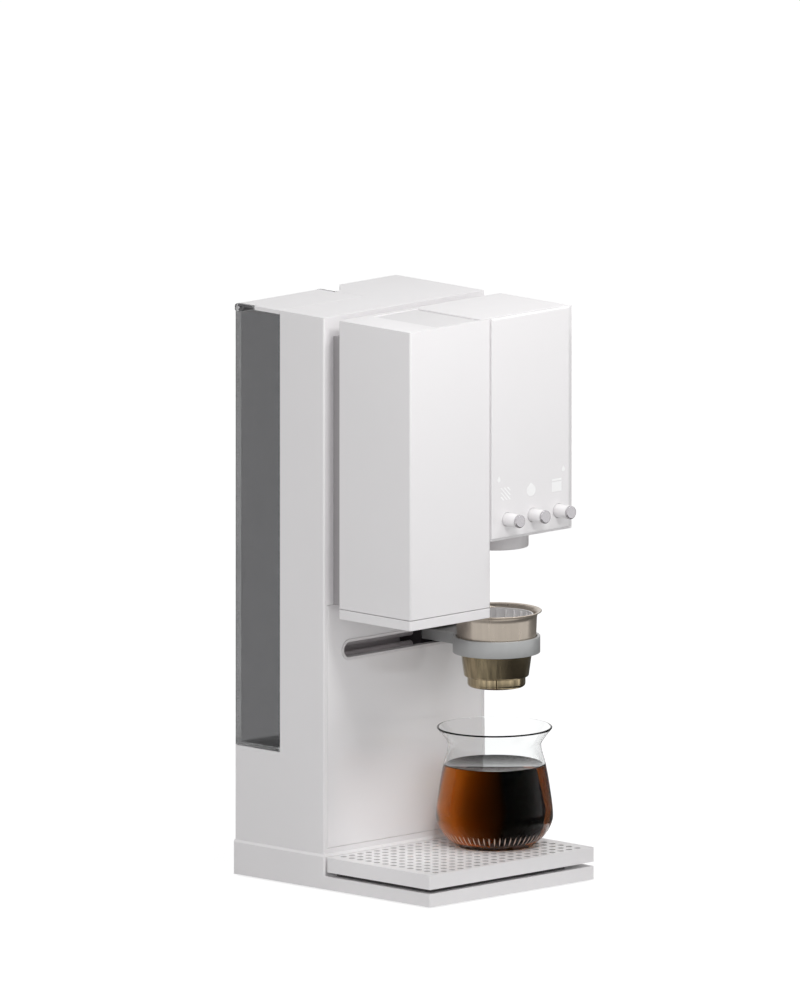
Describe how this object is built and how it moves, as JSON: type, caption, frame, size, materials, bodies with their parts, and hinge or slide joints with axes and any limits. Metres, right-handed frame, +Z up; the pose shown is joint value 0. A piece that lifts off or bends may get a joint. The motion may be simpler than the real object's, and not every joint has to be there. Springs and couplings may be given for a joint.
{
  "type": "coffee machine",
  "caption": "White column pour-over coffee machine with grinder, water tank, control knobs, sliding dripper arm and glass carafe on a perforated tray scale.",
  "frame": {"origin": "centre of the footprint, on the surface that the feet stand on", "axes": "+X to the machine's right, -Y to its front, +Z up"},
  "size_m": [0.1736, 0.2074, 0.4335],
  "materials": {
    "white_plastic": "satin moulded",
    "gloss_white": "gloss",
    "pale_plastic": "satin moulded",
    "insert_plastic": "satin moulded",
    "dark_plastic": "fine grain",
    "smoked_plastic": "smoked, gloss",
    "aluminium": "satin anodised",
    "champagne_steel": "warm satin to polished",
    "steel": "turned",
    "black_steel": "black oxide",
    "rubber": "matte",
    "hose_silicone": "silicone",
    "circuit_board": "solder mask",
    "glass": "clear"
  },
  "bodies": {
    "root": {"base_plate": "white_plastic", "rubber_feet": "rubber", "housing_screws": "steel", "column_shell": "white_plastic", "column_front_panel": "gloss_white", "slot_bezel": "pale_plastic", "arm_rail_housing": "dark_plastic", "guide_rods": "black_steel", "arm_motor": "dark_plastic", "neck_frame": "white_plastic", "grinder_housing": "white_plastic", "grinder_bottom_band": "white_plastic", "hopper_hinge_pin": "steel", "bean_funnel": "smoked_plastic", "burr_housing": "dark_plastic", "outer_burr": "steel", "grinder_motor": "steel", "grind_chute": "dark_plastic", "brewer_housing": "white_plastic", "control_panel": "gloss_white", "brewer_bottom_plate": "white_plastic", "nozzle_collar": "pale_plastic", "nozzle_shower_plate": "dark_plastic", "control_board": "circuit_board", "encoder_bodies": "dark_plastic", "water_pump": "dark_plastic", "heater_block": "aluminium", "water_hoses": "hose_silicone", "power_board": "circuit_board", "power_inlet": "dark_plastic", "scale_platform": "dark_plastic", "load_cell": "aluminium", "tank_seat": "dark_plastic"},
    "arm": {"arm_carriage": "dark_plastic", "dripper_arm": "aluminium"},
    "lead_screw": {"lead_screw": "black_steel"},
    "dripper": {"dripper_cup": "champagne_steel", "dripper_base": "champagne_steel", "dripper_insert": "insert_plastic"},
    "drip_pan": {"drip_pan": "pale_plastic"},
    "tray_cover": {"drip_tray_cover": "white_plastic"},
    "carafe": {"carafe": "glass"},
    "water_tank": {"water_tank": "smoked_plastic", "tank_valve": "dark_plastic", "tank_hinge_pin": "steel"},
    "tank_lid": {"tank_lid": "white_plastic"},
    "hopper_lid": {"hopper_lid": "white_plastic"},
    "burr": {"burr_shaft": "steel", "inner_burr": "steel"},
    "encoder_left": {"encoder_rotor_left": "steel"},
    "knob_left": {"knob_left": "white_plastic", "knob_cap_left": "aluminium"},
    "encoder_center": {"encoder_rotor_center": "steel"},
    "knob_center": {"knob_center": "white_plastic", "knob_cap_center": "aluminium"},
    "encoder_right": {"encoder_rotor_right": "steel"},
    "knob_right": {"knob_right": "white_plastic", "knob_cap_right": "aluminium"}
  },
  "joints": [
    {"name": "arm_slide", "type": "slide", "parent": "root", "child": "arm", "axis": [1, 0, 0], "range_m": [-0.08515, 0]},
    {"name": "lead_screw_turn", "type": "hinge", "parent": "root", "child": "lead_screw", "pos_m": [0, 0.03325, 0.1793], "axis": [1, 0, 0], "range_deg": [-3840, 0]},
    {"name": "dripper_lift", "type": "slide", "parent": "arm", "child": "dripper", "axis": [0, 0, 1], "range_m": [0, 0.045]},
    {"name": "pan_lift", "type": "slide", "parent": "root", "child": "drip_pan", "axis": [0, 0, 1], "range_m": [0, 0.015]},
    {"name": "tray_cover_lift", "type": "slide", "parent": "drip_pan", "child": "tray_cover", "axis": [0, 0, 1], "range_m": [0, 0.015]},
    {"name": "carafe_slide", "type": "slide", "parent": "tray_cover", "child": "carafe", "axis": [0, -1, 0], "range_m": [0, 0.11]},
    {"name": "tank_lift", "type": "slide", "parent": "root", "child": "water_tank", "axis": [0, 0, 1], "range_m": [0, 0.06]},
    {"name": "tank_lid_hinge", "type": "hinge", "parent": "water_tank", "child": "tank_lid", "pos_m": [-0.0411, 0.09985, 0.4303], "axis": [-1, 0, 0], "range_deg": [0, 100]},
    {"name": "hopper_lid_hinge", "type": "hinge", "parent": "root", "child": "hopper_lid", "pos_m": [-0.0092, -0.045, 0.4317], "axis": [0, 1, 0], "range_deg": [0, 100]},
    {"name": "burr_turn", "type": "hinge", "parent": "root", "child": "burr", "pos_m": [-0.04275, -0.05, 0.3315], "axis": [0, 1, 0], "continuous": true},
    {"name": "knob_left_turn", "type": "hinge", "parent": "root", "child": "encoder_left", "pos_m": [0.0155, -0.08145, 0.2802], "axis": [0, 1, 0], "continuous": true},
    {"name": "knob_left_push", "type": "slide", "parent": "encoder_left", "child": "knob_left", "axis": [0, 1, 0], "range_m": [0, 0.0015], "stiffness_N_per_m": 400},
    {"name": "knob_center_turn", "type": "hinge", "parent": "root", "child": "encoder_center", "pos_m": [0.0424, -0.08145, 0.2802], "axis": [0, 1, 0], "continuous": true},
    {"name": "knob_center_push", "type": "slide", "parent": "encoder_center", "child": "knob_center", "axis": [0, 1, 0], "range_m": [0, 0.0015], "stiffness_N_per_m": 400},
    {"name": "knob_right_turn", "type": "hinge", "parent": "root", "child": "encoder_right", "pos_m": [0.0693, -0.08145, 0.2802], "axis": [0, 1, 0], "continuous": true},
    {"name": "knob_right_push", "type": "slide", "parent": "encoder_right", "child": "knob_right", "axis": [0, 1, 0], "range_m": [0, 0.0015], "stiffness_N_per_m": 400}
  ],
  "couplings": [
    {"joint": "lead_screw_turn", "follows": "arm_slide", "rad_per_m": 785.4}
  ]
}
